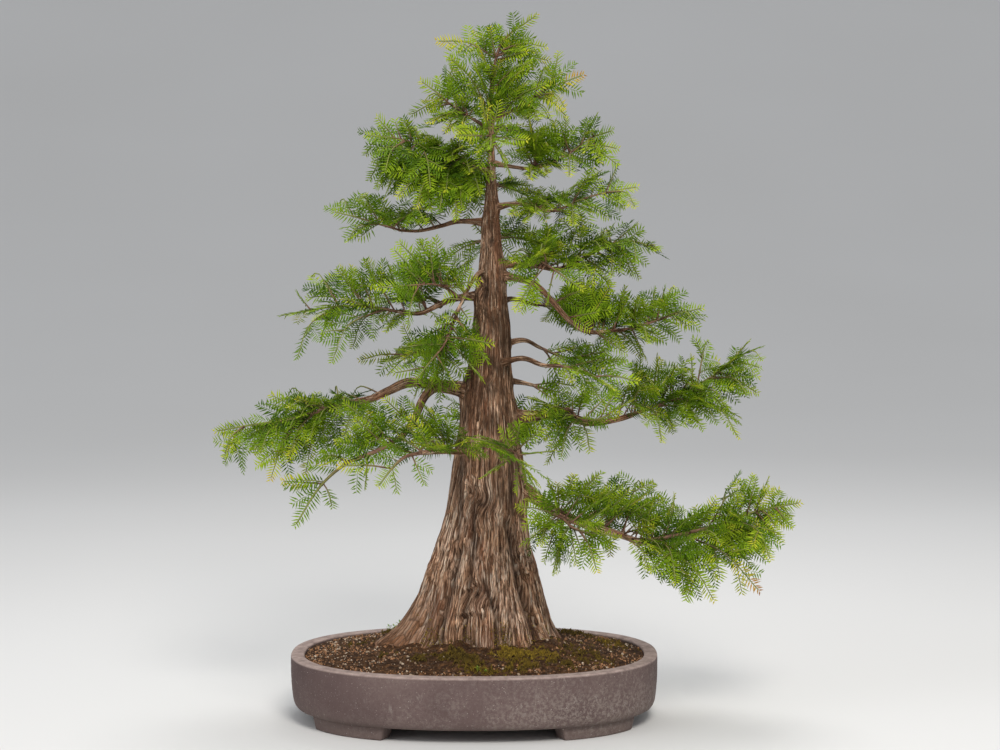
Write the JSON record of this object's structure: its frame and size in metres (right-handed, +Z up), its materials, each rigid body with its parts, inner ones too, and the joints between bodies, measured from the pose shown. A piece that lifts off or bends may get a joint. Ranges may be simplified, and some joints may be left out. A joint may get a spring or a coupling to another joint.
{
  "type": "bald cypress bonsai",
  "caption": "Bald cypress bonsai with a fluted, flared trunk and feathery green sprays, in an oval unglazed clay tray with curved feet",
  "frame": {"origin": "under the middle of the whole object, on the surface that its four feet stand on", "axes": "+Z up along the trunk, +X to the right of the front view, along the tray's length, +Y to the back"},
  "size_m": [0.7386, 0.5233, 0.8852],
  "materials": {
    "clay": "matte",
    "mesh": "matte",
    "grit": "matte",
    "bark": "matte",
    "foliage": "satin"
  },
  "bodies": {
    "root": {"pot": "clay", "drain_screen_left": "mesh", "drain_screen_right": "mesh", "soil": "grit", "wood": "bark", "spray_leader": "foliage", "spray_right_low": "foliage", "spray_right_low_front": "foliage", "spray_right_low_back": "foliage", "spray_right_mid": "foliage", "spray_right_mid_front": "foliage", "spray_right_twig": "foliage", "spray_right_curved": "foliage", "spray_right_high": "foliage", "spray_right_high_front": "foliage", "spray_right_top": "foliage", "spray_right_crown": "foliage", "spray_left_low": "foliage", "spray_left_fork": "foliage", "spray_left_front": "foliage", "spray_front_low": "foliage", "spray_left_mid": "foliage", "spray_left_mid_front": "foliage", "spray_left_mid_back": "foliage", "spray_left_hanging": "foliage", "spray_left_upper": "foliage", "spray_left_high": "foliage", "spray_crown_left": "foliage", "spray_crown_right": "foliage", "spray_crown_front": "foliage", "spray_crown_back": "foliage", "spray_back_low": "foliage", "spray_back_left": "foliage", "spray_back_right": "foliage", "spray_back_high": "foliage", "spray_back_top": "foliage", "spray_front_right": "foliage"}
  },
  "joints": []
}
